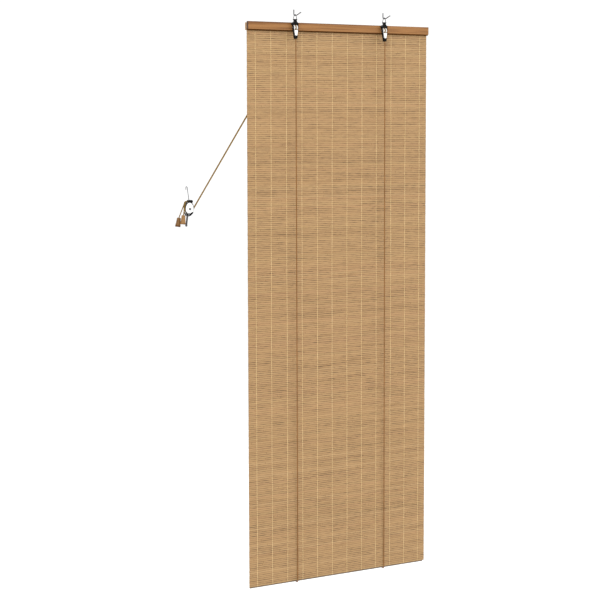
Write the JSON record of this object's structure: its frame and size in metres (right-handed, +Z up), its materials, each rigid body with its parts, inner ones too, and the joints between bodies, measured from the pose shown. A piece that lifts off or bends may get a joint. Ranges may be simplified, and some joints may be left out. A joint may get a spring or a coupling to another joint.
{
  "type": "bamboo roll up blind",
  "caption": "Woven bamboo roll up blind with a wooden head rail, black hanger pulleys on screw hooks, brown lift cords and a hanging cord lock with wooden tassels.",
  "frame": {"origin": "midway between the two screw hooks, where their threaded stems begin", "axes": "+X along the head rail to the viewer's right, +Y towards the back of the blind, +Z up along the hook stems"},
  "size_m": [0.8072, 0.0646, 1.6388],
  "materials": {
    "rail_wood": "satin",
    "batten_wood": "matte",
    "bamboo": "satin",
    "warp_thread": "matte",
    "lift_cord": "matte",
    "pull_cord": "matte",
    "black_paint": "satin",
    "white_nylon": "semi-gloss",
    "zinc_wire": "satin",
    "white_enamel": "gloss",
    "dark_steel": "satin",
    "brown_tassel_wood": "satin",
    "tan_tassel_wood": "satin"
  },
  "bodies": {
    "head": {"head_rail": "rail_wood", "rail_back_strip": "batten_wood", "bamboo_slats": "bamboo", "front_warp_threads": "warp_thread", "back_warp_threads": "warp_thread", "left_lift_cord_front": "lift_cord", "left_lift_cord_back": "lift_cord", "right_lift_cord_front": "lift_cord", "right_lift_cord_back": "lift_cord", "left_cord_knot": "lift_cord", "right_cord_knot": "lift_cord", "left_pull_cord": "pull_cord", "right_pull_cord": "pull_cord", "left_tassel_knot": "pull_cord", "right_tassel_knot": "pull_cord", "left_pulley_frame": "black_paint", "right_pulley_frame": "black_paint", "lock_cap": "black_paint", "lock_front_yoke": "black_paint", "lock_back_yoke": "black_paint", "left_cord_guide": "white_nylon", "right_cord_guide": "white_nylon", "left_bail": "zinc_wire", "right_bail": "zinc_wire", "left_screw_hook": "zinc_wire", "right_screw_hook": "zinc_wire", "left_pulley_axle": "zinc_wire", "right_pulley_axle": "zinc_wire", "hanger_screws": "zinc_wire", "rail_nails": "zinc_wire", "cord_ring_eye": "zinc_wire", "lock_wheel_pin": "zinc_wire", "lock_peg": "zinc_wire", "lock_lever_pin": "zinc_wire", "lock_hanging_wire": "zinc_wire", "lock_front_cheek": "white_enamel", "lock_back_cheek": "white_enamel", "left_tassel": "brown_tassel_wood", "right_tassel": "tan_tassel_wood"},
    "bottom_bar": {"bottom_batten": "batten_wood", "bottom_cord_bights": "lift_cord"},
    "left_roller": {"left_pulley_roller": "white_nylon"},
    "right_roller": {"right_pulley_roller": "white_nylon"},
    "lock_wheel_body": {"lock_wheel": "white_nylon"},
    "lock_lever_body": {"lock_lever": "dark_steel"}
  },
  "joints": [
    {"name": "curtain_lift", "type": "slide", "parent": "head", "child": "bottom_bar", "axis": [0, 0, 1], "range_m": [0, 1.45], "deforming": ["bamboo_slats", "front_warp_threads", "back_warp_threads", "left_lift_cord_front", "left_lift_cord_back", "right_lift_cord_front", "right_lift_cord_back"]},
    {"name": "left_roller_spin", "type": "hinge", "parent": "head", "child": "left_roller", "pos_m": [-0.14521, -0.00493, -0.0395], "axis": [1, 0, 0], "continuous": true},
    {"name": "right_roller_spin", "type": "hinge", "parent": "head", "child": "right_roller", "pos_m": [0.14829, -0.00493, -0.0395], "axis": [1, 0, 0], "continuous": true},
    {"name": "lock_wheel_spin", "type": "hinge", "parent": "head", "child": "lock_wheel_body", "pos_m": [-0.46021, 0.02957, -0.539], "axis": [0, 1, 0], "continuous": true},
    {"name": "lock_lever_swing", "type": "hinge", "parent": "head", "child": "lock_lever_body", "pos_m": [-0.46471, 0.02957, -0.5546], "axis": [0, 1, 0], "range_deg": [-40, 0], "stiffness_Nm_per_rad": 0.004, "springref_deg": 11.46}
  ],
  "couplings": [
    {"joint": "left_roller_spin", "follows": "curtain_lift", "rad_per_m": -363.64},
    {"joint": "right_roller_spin", "follows": "curtain_lift", "rad_per_m": -363.64},
    {"joint": "lock_wheel_spin", "follows": "curtain_lift", "rad_per_m": 188.68}
  ]
}
